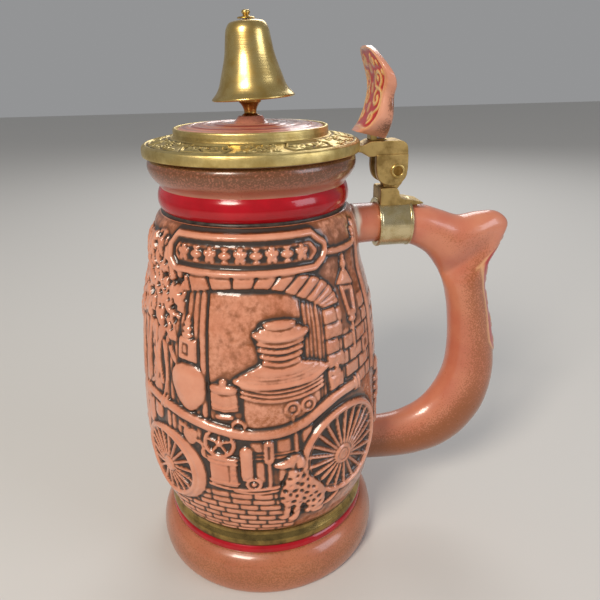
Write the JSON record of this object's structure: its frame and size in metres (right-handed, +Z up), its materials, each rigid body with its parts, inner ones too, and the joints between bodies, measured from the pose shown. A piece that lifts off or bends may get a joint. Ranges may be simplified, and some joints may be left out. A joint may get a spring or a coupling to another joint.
{
  "type": "beer stein",
  "caption": "Lidded ceramic beer stein with moulded relief, scrolled handle, thumb lift hinge and a loose brass bell on the lid.",
  "frame": {"origin": "on the mug's axis, at the plane of the foot ring that stands on the table", "axes": "+Z up along the mug's axis, +X towards the handle and the hinge, Y across"},
  "size_m": [0.1699, 0.1079, 0.2349],
  "materials": {
    "relief_glaze": "satin",
    "handle_glaze": "satin",
    "thumb_glaze": "satin",
    "inlay_glaze": "gloss",
    "bedding_plaster": "matte",
    "antique_brass": "satin",
    "ring_brass": "satin",
    "polished_brass": "gloss",
    "bronze_post": "satin",
    "plain_steel": "satin"
  },
  "bodies": {
    "stein": {"mug_body": "relief_glaze", "handle": "handle_glaze", "hinge_bracket": "antique_brass"},
    "lid": {"lid_ring": "ring_brass", "lid_inlay": "inlay_glaze", "inlay_bedding": "bedding_plaster", "lid_shank": "antique_brass", "hinge_pin": "antique_brass", "thumb_stem": "antique_brass", "thumb_lift": "thumb_glaze", "bell_post": "bronze_post", "bell_stud": "plain_steel", "stud_washer": "antique_brass", "stud_nut": "antique_brass", "bell_knob": "polished_brass"},
    "bell_swivel": {"bell_washer": "antique_brass"},
    "bell": {"bell": "polished_brass"}
  },
  "joints": [
    {"name": "lid_hinge", "type": "hinge", "parent": "stein", "child": "lid", "pos_m": [0.0591, 0, 0.1745], "axis": [0, 1, 0], "range_deg": [0, 110]},
    {"name": "bell_spin", "type": "hinge", "parent": "lid", "child": "bell_swivel", "pos_m": [0, 0, 0.2309], "axis": [0, 0, 1], "continuous": true},
    {"name": "bell_rock", "type": "hinge", "parent": "bell_swivel", "child": "bell", "pos_m": [0, 0, 0.2309], "axis": [0, 1, 0], "range_deg": [-1.8, 8.2]}
  ]
}
